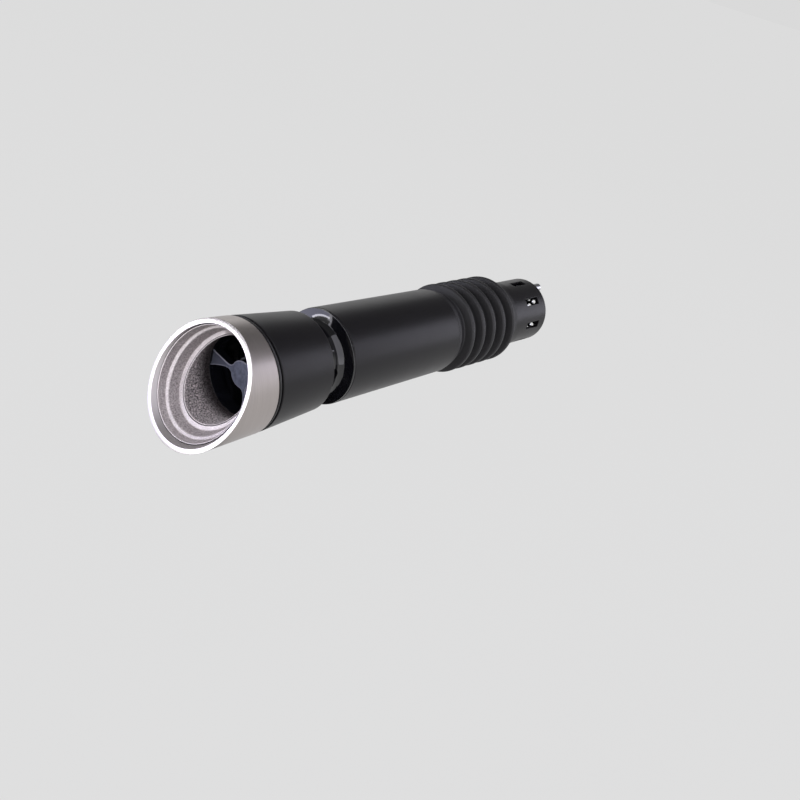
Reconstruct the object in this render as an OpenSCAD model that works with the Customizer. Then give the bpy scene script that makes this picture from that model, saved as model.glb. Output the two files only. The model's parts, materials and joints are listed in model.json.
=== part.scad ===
// Aerating pourer, push to shut.
// The axis lies along X: the slanted mouth is at -X, the ribbed stopper and the strainer at +X.
// +Z is up while pouring, so the long lip of the mouth is at -Z and the air return runs at +Z.
// The origin is on the axis, at the front edge of the first sealing rib of the stopper.
// The head slides towards +X on the core: pushed home it covers the air ports and shuts the nozzle.

/* [Mouth ring] */
// Length of the ring from its joint with the head to the middle of the slanted rim
ring_len = 8.35; // [7.5:0.05:11]
// Slant of the mouth, in degrees
mouth_slant = 21.8; // [10:0.1:23]
// Slant of the two inner ledges, in degrees
ledge_slant = 24.2; // [10:0.1:25]
// How much wider the ring is at its rim than at its joint, on the radius
ring_flare = 0.36; // [0:0.02:0.8]
// Width of the flat rim
rim_w = 0.66; // [0.4:0.02:1]
// Width of the first ledge
ledge_1_w = 0.75; // [0.3:0.05:1]
// Width of the second ledge
ledge_2_w = 0.85; // [0.3:0.05:1.1]
// Depth of the first ledge below the rim
ledge_1_depth = 0.6; // [0.3:0.05:1.2]
// Depth of the second ledge below the rim
ledge_2_depth = 2.5; // [1.5:0.05:3]
// Least steel left behind the last ledge, on the short side
ledge_back = 0.25; // [0.15:0.05:0.8]
// Wall of the skirt that joins the ring to the head
skirt_wall = 0.7; // [0.5:0.05:1]

/* [Head] */
// Travel of the head from open to shut
head_travel = 4.8; // [3:0.1:6]
// Gap left between the head and the neck when the head is shut
shut_gap = 0.94; // [0.7:0.02:1.6]
// Thickness of the gasket between ring and head
gasket_t = 1.1; // [0.8:0.05:1.6]
// Thickness of the bead round the gasket
bead_t = 0.46; // [0.3:0.02:0.6]
// Wall of the head shell at its rear end
shell_wall = 0.78; // [0.6:0.02:1.2]
// How much wider the head is at its front than at its rear, on the radius
head_flare = 1.1; // [0:0.05:2]
// Rounding of the rear edge of the head
head_round = 0.25; // [0.2:0.05:0.6]
// Wall of the mixing chamber
chamber_wall = 0.9; // [0.7:0.05:1.4]
// Wall of the guide bush
bush_wall = 0.73; // [0.5:0.01:1.2]
// Length of the guide bush
bush_len = 2.0; // [1.5:0.1:3]

/* [Flow divider] */
// Length of the divider's rim
divider_len = 3.0; // [2.8:0.1:5]
// Wall of the divider's rim
divider_wall = 0.73; // [0.5:0.01:1]
// Number of spokes
spoke_count = 3; // [2:1:5]
// Width of a spoke at its waist
spoke_waist = 0.85; // [0.5:0.05:1.2]
// Width of a spoke where it meets the rim
spoke_root = 3.2; // [2:0.1:3.6]
// Distance of a spoke's waist from the hub
waist_set = 0.8; // [0.4:0.05:1.5]
// How far the spokes lie behind the front of the rim, at the hub
spoke_set = 0.9; // [0.3:0.05:1]
// How far the spokes lie behind the front of the rim, where they meet it
gusset_set = 0.2; // [0.1:0.05:0.3]
// How far the spokes lie in front of the rear of the rim
spoke_back = 0.4; // [0.3:0.05:0.8]
// Radius of the hub
hub_r = 2.5; // [2.2:0.1:3]
// Height of the dome on the hub
dome_h = 0.3; // [0.2:0.05:0.8]
// Length of the valve plug behind the hub
plug_len = 2.9; // [2:0.1:3.4]
// How much narrower the valve plug is at its rounded end, on the radius
plug_taper = 0.7; // [0.3:0.05:0.9]
// Radius of the stem that holds the plug in the hub
plug_stem_r = 1.0; // [0.6:0.1:1.4]
// Length of the plug's stem
plug_stem_len = 1.2; // [0.8:0.1:1.4]

/* [Core] */
// Radius of the core that the head slides on
core_r = 6.8; // [6:0.1:7.4]
// Wall of the core
core_wall = 1.5; // [1.3:0.05:1.7]
// Radius of the hollow flare between core and neck
flare_r = 2.3; // [2:0.05:2.8]
// Degrees that the flare turns before its straight slanted front
flare_turn = 38; // [30:1:45]
// Thickness of the flange's edge
flange_t = 0.24; // [0.2:0.02:0.5]
// Length of the spigot that goes into the neck
spigot_len = 8.0; // [6:0.5:12]
// Wall of the spigot
spigot_wall = 1.05; // [0.8:0.05:1.3]
// Number of air ports
port_count = 3; // [2:1:4]
// Diameter of an air port
port_d = 2.4; // [1.6:0.1:2.8]
// Distance of the air ports in front of the neck
port_set = 3.3; // [2.6:0.1:4]
// Thickness of the core's seal
seal_d = 1.2; // [1:0.05:1.3]
// Thickness of the retaining clip
clip_t = 0.6; // [0.4:0.05:0.8]
// Opening of the retaining clip
clip_opening = 6.0; // [4:0.5:9]
// Width of the key that stops the head from turning
key_w = 1.3; // [0.8:0.1:2]
// Depth of the key
key_h = 0.4; // [0.3:0.05:0.5]

/* [Liquid and air passages] */
// Room for air between the nozzle and the core
nozzle_room = 1.3; // [1.1:0.05:1.5]
// Wall of the flow tube
flow_wall = 0.6; // [0.4:0.05:0.8]
// How much the nozzle narrows at its tip, on the radius
nozzle_drop = 0.1; // [0:0.05:0.3]
// Wall of the nozzle
nozzle_wall = 0.9; // [0.6:0.05:1.1]
// How far the nozzle stands out of the core
nozzle_out = 0.3; // [0.1:0.05:0.4]
// Thickness of the nozzle's flange
nozzle_flange_t = 4.0; // [3.5:0.1:5]
// Thickness of the nozzle's seal
nozzle_seal_d = 0.5; // [0.4:0.02:0.56]
// Outer radius of the air return tube
air_r = 1.0; // [0.8:0.05:1.2]
// Wall of the air return tube
air_wall = 0.3; // [0.2:0.05:0.4]
// Length of the air return tube beyond the strainer
air_out = 5.0; // [2:0.5:30]

/* [Neck and stopper] */
// Length of the neck from its front edge to the stopper
neck_len = 33.0; // [25:0.5:60]
// How much narrower the neck is at its rear than at its front, on the radius
neck_taper = 0.33; // [0:0.01:0.6]
// How far the neck stands proud of the core's flange
neck_proud = 0.07; // [0.02:0.01:0.2]
// Thickness of the neck's seal
neck_seal_d = 0.95; // [0.7:0.05:1.1]
// Length of the stopper
stopper_len = 24.0; // [20:0.5:32]
// Thickness of the stopper's sleeve
stopper_wall = 1.2; // [0.8:0.05:1.5]
// Radius of the stopper's ribs, to seal in a neck of 18.5 mm bore
rib_r = 9.5; // [8.8:0.05:10.5]
// Number of ribs
rib_count = 5; // [3:1:5]
// Width of a rib's land
rib_land = 1.0; // [0.6:0.05:1.4]
// Width of a rib at its root
rib_root = 2.6; // [2.2:0.1:2.8]
// Distance from the front of the stopper to the first rib's land
rib_lead = 3.75; // [2.8:0.05:5]
// Thickness of the flange that keeps the stopper on the barrel
barrel_flange_t = 2.0; // [1.5:0.1:3]
// Wall left outside the air passage in the barrel
barrel_wall = 0.34; // [0.25:0.01:0.8]

/* [Strainer] */
// Length of the strainer cage
cage_len = 11.0; // [9:0.5:16]
// Wall of the cage
cage_wall = 0.8; // [0.6:0.05:1.4]
// Number of slots round the cage
slot_count = 8; // [4:1:10]
// Width of a slot
slot_w = 1.6; // [1:0.1:2.2]
// Thickness of the mesh
mesh_t = 0.5; // [0.3:0.05:0.8]
// Diameter of a hole of the mesh
mesh_hole_d = 0.9; // [0.5:0.05:1.1]
// Distance between holes of the mesh
mesh_pitch = 1.5; // [1.3:0.05:2.5]
// Thickness of the spring ring that keeps the mesh in the cage
mesh_clip_t = 0.8; // [0.5:0.05:1]

/* [Fits] */
// Radial clearance of the head on the core
slide_fit = 0.05; // [0.02:0.01:0.1]
// Radial clearance of pieces that are pressed or bonded together
seat_fit = 0.02; // [0.01:0.005:0.04]
// Radial clearance of the seals
seal_fit = 0.03; // [0.01:0.005:0.05]
// Room left at the ends of the head's travel
stop_gap = 0.2; // [0.1:0.05:0.4]
// Room between the core's nose and the divider when the head is shut
shut_play = 0.3; // [0.2:0.05:1]
// Clearance round the key
key_fit = 0.15; // [0.1:0.05:0.2]

/* [Hidden] */
$fn = 96;
arc_steps = 10;
seal_sides = 32;
cut_margin = 1;
edge = 0.2;
nose_lip = 0.35;
groove_play = 0.1;
groove_land = 0.35;
clip_groove = 0.5;
air_web = 0.3;
air_neck_r = 0.6;
tube_socket = 3.0;
air_socket = 2.0;
barrel_spigot_len = 6.0;
cage_grip = 3.5;
cage_lip = 0.45;
slot_land = 0.85;

// Angles round the axis, from +Y towards +Z
port_angle = 178;
key_angle = 250;
air_angle = 90;

// Radii of the passages and the neck
core_bore_r = core_r - core_wall;
flow_r = core_bore_r - nozzle_room - nozzle_wall;
flow_tube_r = flow_r + flow_wall;
air_hole_r = air_r + seat_fit;
air_offset = flow_tube_r + seat_fit + air_web + air_hole_r;
barrel_r = air_offset + air_hole_r + barrel_wall;
nozzle_flange_r = barrel_r;
nozzle_tip_r = flow_r - nozzle_drop;
spigot_bore_r = nozzle_flange_r + seat_fit;
spigot_r = spigot_bore_r + spigot_wall;
neck_bore_r = spigot_r + seat_fit;
flange_r = core_r + flare_r;
neck_front_r = flange_r + neck_proud;
neck_rear_r = neck_front_r - neck_taper;

// Radii of the head, from the core outwards
bush_bore_r = core_r + slide_fit;
chamber_r = bush_bore_r + bush_wall + seat_fit;
chamber_out_r = chamber_r + chamber_wall;
shell_bore_r = chamber_out_r + seat_fit;
head_rear_r = shell_bore_r + shell_wall;
head_front_r = head_rear_r + head_flare;
skirt_bore_r = chamber_out_r - skirt_wall;
divider_r = skirt_bore_r - seat_fit;
bore_r = divider_r - divider_wall;
rim_r = head_front_r + ring_flare;
wall_1_r = rim_r - rim_w;
wall_2_r = wall_1_r - ledge_1_w;
wall_3_r = wall_2_r - ledge_2_w;
waist_r = hub_r + waist_set;
ledge_3_depth = ring_len - ledge_back - tan(ledge_slant) * wall_3_r;
cut_span = 4 * (ring_len + rim_r);

// Radii of the stopper and the strainer
sleeve_r = barrel_r + seat_fit + stopper_wall;
cage_bore_r = barrel_r + seat_fit;
cage_r = cage_bore_r + cage_wall;
mesh_r = cage_bore_r + cage_wall / 2;

// Places along the axis, from the stopper forwards
x_neck_rear = -rib_lead;
x_neck_front = x_neck_rear - neck_len;
x_flare = x_neck_front - flange_t - flare_r;
x_ports = x_neck_front - port_set;
x_head_rear = x_neck_front - head_travel - shut_gap;
x_bush_rear = x_flare - head_travel - stop_gap;
x_bush_front = x_bush_rear - bush_len;
x_clip_rear = x_bush_front - stop_gap;
x_clip_front = x_clip_rear - clip_t;
x_seal_rear = x_clip_front - groove_land;
x_seal_front = x_seal_rear - seal_d - groove_play;
x_core_front = x_seal_front - nose_lip;
x_divider_rear = x_core_front - head_travel - shut_play;
x_joint = x_divider_rear - divider_len;
x_shell_front = x_joint + gasket_t;
x_rim = x_joint - ring_len;
x_spokes = x_joint + spoke_set;
x_hub_rear = x_divider_rear - spoke_back;
x_nozzle_tip = x_core_front - nozzle_out;
x_nozzle_seat = x_neck_front + flange_t;
x_nozzle_rear = x_nozzle_seat + nozzle_flange_t;
x_nozzle_seal = x_nozzle_seat + (nozzle_flange_t - air_socket) / 2;
head_len = x_head_rear - x_joint;

// Places along the axis, from the stopper backwards
x_stopper_rear = x_neck_rear + stopper_len;
x_barrel_rear = x_stopper_rear + barrel_flange_t;
x_cage_rear = x_barrel_rear + cage_len;
x_mesh = x_cage_rear - cage_lip - mesh_clip_t - mesh_t;
x_air_rear = x_cage_rear + air_out;
rib_pitch = (stopper_len - 2 * rib_lead - rib_land) / (rib_count - 1);

// Radii of the middles of the seals
seal_r = chamber_r - seal_fit - seal_d / 2;
neck_seal_r = spigot_r + seal_fit + neck_seal_d / 2;
nozzle_seal_r = spigot_bore_r - seal_fit - nozzle_seal_d / 2;

ring_steel = "#c4bcbd";
gasket_black = "#26252a";
satin_black = "#2f2d32";
gloss_black = "#1d1d22";
smoked = "#34363f";
acetal = "#d9d6cc";
seal_grey = "#3a3a3f";
stopper_black = "#232226";
steel = "#b4b5b8";

// Points of an arc from angle a to angle b about c, as pairs of place along the axis and radius
function arc(c, r, a, b) = [
    for (i = [0 : arc_steps])
        let (t = a + (b - a) * i / arc_steps)
            [c[0] + r * cos(t), c[1] + r * sin(t)]
];

// A solid of revolution about X from points given as place along the axis and radius
module turned(points) {
    rotate([0, 90, 0])
        rotate_extrude()
            polygon([for (p = points) [p[1], p[0]]]);
}

// A round bar along X
module bar(x0, x1, r) {
    translate([x0, 0, 0])
        rotate([0, 90, 0])
            cylinder(h = x1 - x0, r = r);
}

// A straight tube along X
module tube(x0, x1, r_in, r_out) {
    difference() {
        bar(x0, x1, r_out);
        bar(x0 - cut_margin, x1 + cut_margin, r_in);
    }
}

// A round seal at x, with its middle at radius r
module o_ring(x, r, d) {
    translate([x, 0, 0])
        rotate([0, 90, 0])
            rotate_extrude()
                translate([r, 0])
                    circle(d = d, $fn = seal_sides);
}

// Everything on the mouth's side of a plane through the axis at x, tilted by slant
module beyond(x, slant) {
    translate([x, 0, 0])
        rotate([0, slant, 0])
            translate([-cut_span, -cut_span / 2, -cut_span / 2])
                cube(cut_span);
}

// A round pocket of radius r that runs in from the mouth to a slanted floor
module slanted_pocket(r, depth, slant) {
    intersection() {
        bar(x_rim - cut_span / 2, x_joint, r);
        beyond(x_rim + depth, slant);
    }
}

// Moves children to the place of the air return
module at_air() {
    rotate([air_angle, 0, 0])
        translate([0, air_offset, 0])
            children();
}

module mouth_ring() {
    reach = tan(mouth_slant) * rim_r + cut_margin;
    far_r = head_front_r + ring_flare * (ring_len + reach) / ring_len;
    color(ring_steel)
        difference() {
            union() {
                turned([
                    [x_rim - reach, 0],
                    [x_rim - reach, far_r],
                    [x_joint - edge, head_front_r],
                    [x_joint, head_front_r - edge],
                    [x_joint, 0]
                ]);
                bar(x_joint - edge, x_divider_rear, chamber_out_r);
            }
            beyond(x_rim, mouth_slant);
            slanted_pocket(wall_1_r, ledge_1_depth, mouth_slant);
            slanted_pocket(wall_2_r, ledge_2_depth, ledge_slant);
            slanted_pocket(wall_3_r, ledge_3_depth, ledge_slant);
            bar(x_rim - cut_span / 2, x_joint + cut_margin, bore_r);
            bar(x_joint, x_divider_rear + cut_margin, skirt_bore_r);
        }
}

// A flat ring with a bead that shows between the ring and the head
module mouth_gasket() {
    bead_r = head_front_r - edge / 2;
    neck_r = head_front_r - 2 * edge;
    x_mid = x_joint + gasket_t / 2;
    color(gasket_black)
        turned([
            [x_joint, shell_bore_r],
            [x_joint, neck_r],
            [x_mid - bead_t / 2, neck_r],
            [x_mid - bead_t / 2, bead_r - edge / 2],
            [x_mid - bead_t / 4, bead_r],
            [x_mid + bead_t / 4, bead_r],
            [x_mid + bead_t / 2, bead_r - edge / 2],
            [x_mid + bead_t / 2, neck_r],
            [x_shell_front, neck_r],
            [x_shell_front, shell_bore_r]
        ]);
}

module head_shell() {
    front_r = head_rear_r + head_flare * (head_len - gasket_t) / head_len;
    color(satin_black)
        turned(concat(
            [
                [x_shell_front, shell_bore_r],
                [x_shell_front, front_r - edge],
                [x_shell_front + edge, front_r]
            ],
            arc([x_head_rear - head_round, head_rear_r - head_round], head_round, 90, 0),
            [[x_head_rear, shell_bore_r]]
        ));
}

module mixing_chamber() {
    color(gloss_black)
        tube(x_divider_rear, x_bush_rear, chamber_r, chamber_out_r);
}

// The outline of the spokes, the first along +Y, each waisted by a round scoop on either side
module spokes() {
    span = bore_r - waist_r;
    scoop = (spoke_root - spoke_waist) / 2;
    scoop_r = (span * span + scoop * scoop) / (2 * scoop);
    for (i = [0 : spoke_count - 1])
        rotate(i * 360 / spoke_count)
            difference() {
                translate([-spoke_root / 2, 0])
                    square([spoke_root, bore_r + divider_wall / 2]);
                for (side = [-1, 1])
                    translate([side * (spoke_waist / 2 + scoop_r), waist_r])
                        circle(r = scoop_r);
            }
}

// A rim, a domed hub and the spokes between them, which come forward towards the rim
module flow_divider() {
    x_gusset = x_joint + gusset_set;
    x_web_rear = x_hub_rear - edge;
    web_r = bore_r + divider_wall / 2;
    dome_r = (hub_r * hub_r + dome_h * dome_h) / (2 * dome_h);
    x_dome = x_spokes - edge;
    color(smoked)
        difference() {
            union() {
                tube(x_joint, x_divider_rear, bore_r, divider_r);
                intersection() {
                    translate([x_gusset - cut_margin, 0, 0])
                        rotate([0, 90, 0])
                            linear_extrude(height = x_web_rear + 2 * cut_margin - x_gusset)
                                spokes();
                    turned([
                        [x_spokes, 0],
                        [x_spokes, waist_r],
                        [x_gusset, bore_r],
                        [x_gusset, web_r],
                        [x_web_rear, web_r],
                        [x_web_rear, 0]
                    ]);
                }
                turned(concat(
                    arc([x_dome - dome_h + dome_r, 0], dome_r, 180, 180 - asin(hub_r / dome_r)),
                    [
                        [x_hub_rear, hub_r],
                        [x_hub_rear, 0]
                    ]
                ));
            }
            bar(x_hub_rear - plug_stem_len - edge, x_hub_rear + cut_margin, plug_stem_r + seat_fit);
        }
}

// A cone that goes into the nozzle when the head is shut, on a stem in the hub
module valve_plug() {
    base_r = nozzle_tip_r - edge;
    plug_tip_r = base_r - plug_taper;
    tip_round = 2 * edge;
    x_tip = x_hub_rear + plug_len;
    color(seal_grey)
        turned(concat(
            [
                [x_hub_rear - plug_stem_len, 0],
                [x_hub_rear - plug_stem_len, plug_stem_r],
                [x_hub_rear, plug_stem_r],
                [x_hub_rear, base_r]
            ],
            arc([x_tip - tip_round, plug_tip_r - tip_round], tip_round, 75, 0),
            [[x_tip, 0]]
        ));
}

// A plain bearing, with a key that runs in the core's slot
module guide_bush() {
    color(acetal) {
        tube(x_bush_front, x_bush_rear, bush_bore_r, chamber_r - seat_fit);
        intersection() {
            tube(x_bush_front, x_bush_rear, core_r - key_h, bush_bore_r + bush_wall / 2);
            rotate([key_angle, 0, 0])
                translate([x_bush_front, 0, -key_w / 2])
                    cube([bush_len, 2 * core_r, key_w]);
        }
    }
}

// The spool that the head slides on, with its grooves, key slot, air ports, flange and spigot
module core_spool() {
    groove_r = seal_r - seal_d / 2 - seal_fit;
    x_slot = x_clip_rear + seat_fit;
    color(gloss_black)
        difference() {
            turned(concat(
                [
                    [x_core_front, core_bore_r],
                    [x_core_front, core_r - edge],
                    [x_core_front + edge, core_r],
                    [x_seal_front, core_r],
                    [x_seal_front, groove_r],
                    [x_seal_rear, groove_r],
                    [x_seal_rear, core_r],
                    [x_clip_front - seat_fit, core_r],
                    [x_clip_front - seat_fit, core_r - clip_groove],
                    [x_slot, core_r - clip_groove],
                    [x_slot, core_r]
                ],
                arc([x_flare, flange_r], flare_r, 270, 270 + flare_turn),
                [
                    [x_neck_front - flange_t, flange_r],
                    [x_neck_front, flange_r],
                    [x_neck_front, spigot_r],
                    [x_neck_front + spigot_len, spigot_r],
                    [x_neck_front + spigot_len, spigot_bore_r],
                    [x_nozzle_seat, spigot_bore_r],
                    [x_nozzle_seat, core_bore_r]
                ]
            ));
            for (i = [0 : port_count - 1])
                rotate([port_angle + i * 360 / port_count, 0, 0])
                    translate([x_ports, 0, 0])
                        rotate([-90, 0, 0])
                            cylinder(h = core_r + flare_r, d = port_d);
            rotate([key_angle, 0, 0])
                translate([x_slot, core_r - key_h - key_fit, -key_w / 2 - key_fit])
                    cube([x_flare - x_slot, flare_r, key_w + 2 * key_fit]);
        }
}

module core_seal() {
    color(seal_grey)
        o_ring((x_seal_front + x_seal_rear) / 2, seal_r, seal_d);
}

// An open spring clip in the groove behind the core's seal
module retaining_clip() {
    color(steel)
        difference() {
            tube(x_clip_front, x_clip_rear, core_r - clip_groove + seat_fit, chamber_r - edge);
            rotate([key_angle, 0, 0])
                translate([x_clip_front - cut_margin, 0, -clip_opening / 2])
                    cube([clip_t + 2 * cut_margin, 2 * core_r, clip_opening]);
        }
}

// A narrow tube on a grooved flange, with sockets for the flow tube and the air tube
module nozzle() {
    groove_r = nozzle_seal_r - nozzle_seal_d / 2 - seal_fit;
    groove_half = (nozzle_seal_d + groove_play) / 2;
    color(smoked)
        difference() {
            turned([
                [x_nozzle_tip, nozzle_tip_r],
                [x_nozzle_tip, nozzle_tip_r + nozzle_wall - edge],
                [x_nozzle_tip + edge, nozzle_tip_r + nozzle_wall],
                [x_nozzle_seat, flow_r + nozzle_wall],
                [x_nozzle_seat, nozzle_flange_r],
                [x_nozzle_seal - groove_half, nozzle_flange_r],
                [x_nozzle_seal - groove_half, groove_r],
                [x_nozzle_seal + groove_half, groove_r],
                [x_nozzle_seal + groove_half, nozzle_flange_r],
                [x_nozzle_rear, nozzle_flange_r],
                [x_nozzle_rear, flow_tube_r + seat_fit],
                [x_nozzle_rear - tube_socket, flow_tube_r + seat_fit],
                [x_nozzle_rear - tube_socket, flow_r],
                [x_nozzle_seat, flow_r]
            ]);
            at_air() {
                bar(x_nozzle_seat - cut_margin, x_nozzle_rear + cut_margin, air_neck_r);
                bar(x_nozzle_rear - air_socket, x_nozzle_rear + cut_margin, air_hole_r);
            }
        }
}

module nozzle_seal() {
    color(seal_grey)
        o_ring(x_nozzle_seal, nozzle_seal_r, nozzle_seal_d);
}

module neck_seal() {
    color(seal_grey)
        o_ring(x_neck_front + seal_fit + neck_seal_d / 2, neck_seal_r, neck_seal_d);
}

// A tapered tube with a recess for the neck's seal
module neck_tube() {
    recess_r = neck_seal_r + neck_seal_d / 2 + seal_fit;
    x_recess = x_neck_front + neck_seal_d + 2 * seal_fit;
    color(satin_black)
        turned([
            [x_neck_front, recess_r],
            [x_neck_front, neck_front_r - edge],
            [x_neck_front + edge, neck_front_r],
            [x_neck_rear - edge, neck_rear_r],
            [x_neck_rear, neck_rear_r - edge],
            [x_neck_rear, neck_bore_r],
            [x_recess, neck_bore_r],
            [x_recess, recess_r]
        ]);
}

module flow_tube() {
    color(smoked)
        tube(x_nozzle_rear - tube_socket, x_neck_rear, flow_r, flow_tube_r);
}

module air_tube() {
    color(steel)
        at_air()
            tube(x_nozzle_rear - air_socket, x_air_rear, air_r - air_wall, air_r);
}

// A spigot in the neck, a post for the stopper, a flange behind it and a grip for the strainer
module barrel() {
    x_front = x_neck_rear - barrel_spigot_len;
    x_rear = x_barrel_rear + cage_grip;
    color(satin_black)
        difference() {
            turned([
                [x_front, 0],
                [x_front, neck_bore_r - seat_fit],
                [x_neck_rear, neck_bore_r - seat_fit],
                [x_neck_rear, barrel_r],
                [x_stopper_rear, barrel_r],
                [x_stopper_rear, sleeve_r],
                [x_barrel_rear - edge, sleeve_r],
                [x_barrel_rear, sleeve_r - edge],
                [x_barrel_rear, barrel_r],
                [x_rear, barrel_r],
                [x_rear, 0]
            ]);
            bar(x_front - cut_margin, x_rear + cut_margin, flow_r);
            bar(x_front - cut_margin, x_neck_rear, flow_tube_r + seat_fit);
            at_air()
                bar(x_front - cut_margin, x_rear + cut_margin, air_hole_r);
        }
}

// A sleeve with a collar and ribs, steep towards the mouth and sloped towards the strainer
module stopper() {
    rib_lean = (rib_root - rib_land) / 4;
    collar_r = neck_rear_r - edge;
    ribs = [
        for (i = [0 : rib_count - 1])
            let (x = i * rib_pitch)
                each [
                    [x - rib_lean, sleeve_r],
                    [x, rib_r],
                    [x + rib_land, rib_r],
                    [x + rib_root - rib_lean, sleeve_r]
                ]
    ];
    color(stopper_black)
        turned(concat(
            [
                [x_neck_rear, cage_bore_r],
                [x_neck_rear, collar_r],
                [x_neck_rear + rib_land, collar_r],
                [x_neck_rear + rib_land + edge, sleeve_r]
            ],
            ribs,
            [
                [x_stopper_rear, sleeve_r],
                [x_stopper_rear, cage_bore_r]
            ]
        ));
}

// A slotted tube with a seat for the mesh at its end
module strainer_cage() {
    x_slots = x_barrel_rear + cage_grip;
    color(satin_black)
        difference() {
            turned([
                [x_barrel_rear, cage_bore_r],
                [x_barrel_rear, cage_r],
                [x_cage_rear - edge, cage_r],
                [x_cage_rear, cage_r - edge],
                [x_cage_rear, mesh_r + seat_fit],
                [x_mesh, mesh_r + seat_fit],
                [x_mesh, cage_bore_r]
            ]);
            for (i = [0 : slot_count - 1])
                rotate([i * 360 / slot_count, 0, 0])
                    translate([x_slots, 0, -slot_w / 2])
                        cube([x_mesh - slot_land - x_slots, cage_r + cut_margin, slot_w]);
        }
}

// A round plate with a hexagonal field of holes and one for the air tube
module strainer_mesh() {
    row_h = mesh_pitch * cos(30);
    rows = floor(cage_bore_r / row_h);
    x0 = x_mesh - cut_margin;
    x1 = x_mesh + mesh_t + cut_margin;
    color(steel)
        difference() {
            bar(x_mesh, x_mesh + mesh_t, mesh_r);
            at_air()
                bar(x0, x1, air_hole_r);
            for (j = [-rows : rows])
                for (i = [-rows : rows])
                    let (
                        y = (i + abs(j % 2) / 2) * mesh_pitch,
                        z = j * row_h,
                        in_field = norm([y, z]) < cage_bore_r - mesh_hole_d,
                        off_tube = norm([y, z - air_offset]) > air_hole_r + mesh_hole_d
                    )
                        if (in_field && off_tube)
                            translate([0, y, z])
                                bar(x0, x1, mesh_hole_d / 2);
        }
}

module mesh_clip() {
    color(steel)
        tube(x_mesh + mesh_t, x_mesh + mesh_t + mesh_clip_t, mesh_r - mesh_clip_t, mesh_r);
}

mouth_ring();
mouth_gasket();
head_shell();
mixing_chamber();
flow_divider();
valve_plug();
guide_bush();
core_spool();
core_seal();
retaining_clip();
nozzle();
nozzle_seal();
neck_seal();
neck_tube();
flow_tube();
air_tube();
barrel();
stopper();
strainer_cage();
strainer_mesh();
mesh_clip();
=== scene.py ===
# %% [markdown]
# # An aerating pourer
# The solids of the part are already built, so this lesson only dresses them. The pieces that show get rounded
# edges and finer forms, every piece gets a finish, and a small studio lights them. Each new piece stands in
# for the solid that it is drawn over.

# %% Load the solids
import json
import math

import bmesh
import bpy
from mathutils import Euler, Matrix, Vector


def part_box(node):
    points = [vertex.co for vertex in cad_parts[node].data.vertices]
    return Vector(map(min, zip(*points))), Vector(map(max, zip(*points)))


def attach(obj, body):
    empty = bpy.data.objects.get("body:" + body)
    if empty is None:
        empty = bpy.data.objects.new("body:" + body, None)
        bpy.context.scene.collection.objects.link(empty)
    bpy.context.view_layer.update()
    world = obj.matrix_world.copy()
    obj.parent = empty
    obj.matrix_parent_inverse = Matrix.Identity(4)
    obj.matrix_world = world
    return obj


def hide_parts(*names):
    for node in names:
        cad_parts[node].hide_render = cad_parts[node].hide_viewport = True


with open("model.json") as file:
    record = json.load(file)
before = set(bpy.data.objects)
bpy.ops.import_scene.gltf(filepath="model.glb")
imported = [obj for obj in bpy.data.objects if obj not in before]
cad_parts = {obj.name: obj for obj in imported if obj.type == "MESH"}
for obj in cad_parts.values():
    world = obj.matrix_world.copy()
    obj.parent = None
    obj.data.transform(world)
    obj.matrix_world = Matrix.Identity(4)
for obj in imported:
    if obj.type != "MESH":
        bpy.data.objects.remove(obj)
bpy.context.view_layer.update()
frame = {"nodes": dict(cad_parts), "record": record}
mm = 0.001

# %% [markdown]
# ## Where things are
# The axis of the part lies along X, with the mouth at the low end. Places typed in would not follow a
# longer neck, so they are read from the solids: the steel ring ends at the gasket, the head ends at the
# air gap, and the neck starts behind it. Lengths below are in millimetres, counted along X from the joint
# of ring and gasket.

# %% Read the places along the axis
joint_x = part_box("mouth_gasket")[0].x / mm
shell_low, shell_high = (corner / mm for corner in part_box("head_shell"))
neck_low, neck_high = (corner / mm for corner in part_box("neck_tube"))
gasket_end = shell_low.x - joint_x
head_end = shell_high.x - joint_x
neck_start = neck_low.x - joint_x
neck_end = neck_high.x - joint_x
print(f"head {head_end:.2f} mm, air gap {neck_start - head_end:.2f} mm")
print(f"neck {neck_end - neck_start:.2f} mm")

# %% [markdown]
# ## Turning a profile
# Most pieces were turned on a lathe or moulded in a round tool. They could be built up from cylinders,
# but a section that is spun about the axis is how the real ones came to be, and keeps every radius in one
# list. Each vertex remembers which corner of the section it came from, counted from 1, so that a whole
# edge can be picked by its number later.

# %% Spin a section
round_steps = 144
merge_distance = 0.0005


def section_mesh(corners, axis_z=0.0):
    """A closed section, as (place along the axis, radius) pairs in mm, spun once about an axis along X."""
    bm = bmesh.new()
    number = bm.verts.layers.int.new("corner")
    ring = []
    for index, (place, radius) in enumerate(corners):
        vert = bm.verts.new(((joint_x + place) * mm, 0, (axis_z + radius) * mm))
        vert[number] = index + 1
        ring.append(vert)
    for vert, following in zip(ring, ring[1:] + ring[:1]):
        bm.edges.new((vert, following))
    bmesh.ops.spin(
        bm, geom=bm.verts[:] + bm.edges[:], cent=(0, 0, axis_z * mm), axis=(1, 0, 0),
        angle=2 * math.pi, steps=round_steps, use_merge=True,
    )
    bmesh.ops.remove_doubles(bm, verts=bm.verts[:], dist=merge_distance * mm)
    bmesh.ops.recalc_face_normals(bm, faces=bm.faces[:])
    print(len(corners), "corners spun into", len(bm.faces), "faces")
    return bm

# %% [markdown]
# A corner that the hand would feel as rounded is bevelled after the spin. A Bevel modifier would round
# all the sharp edges alike, but on the real pieces each edge has its own width, so the edges are picked
# one by one.

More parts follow.
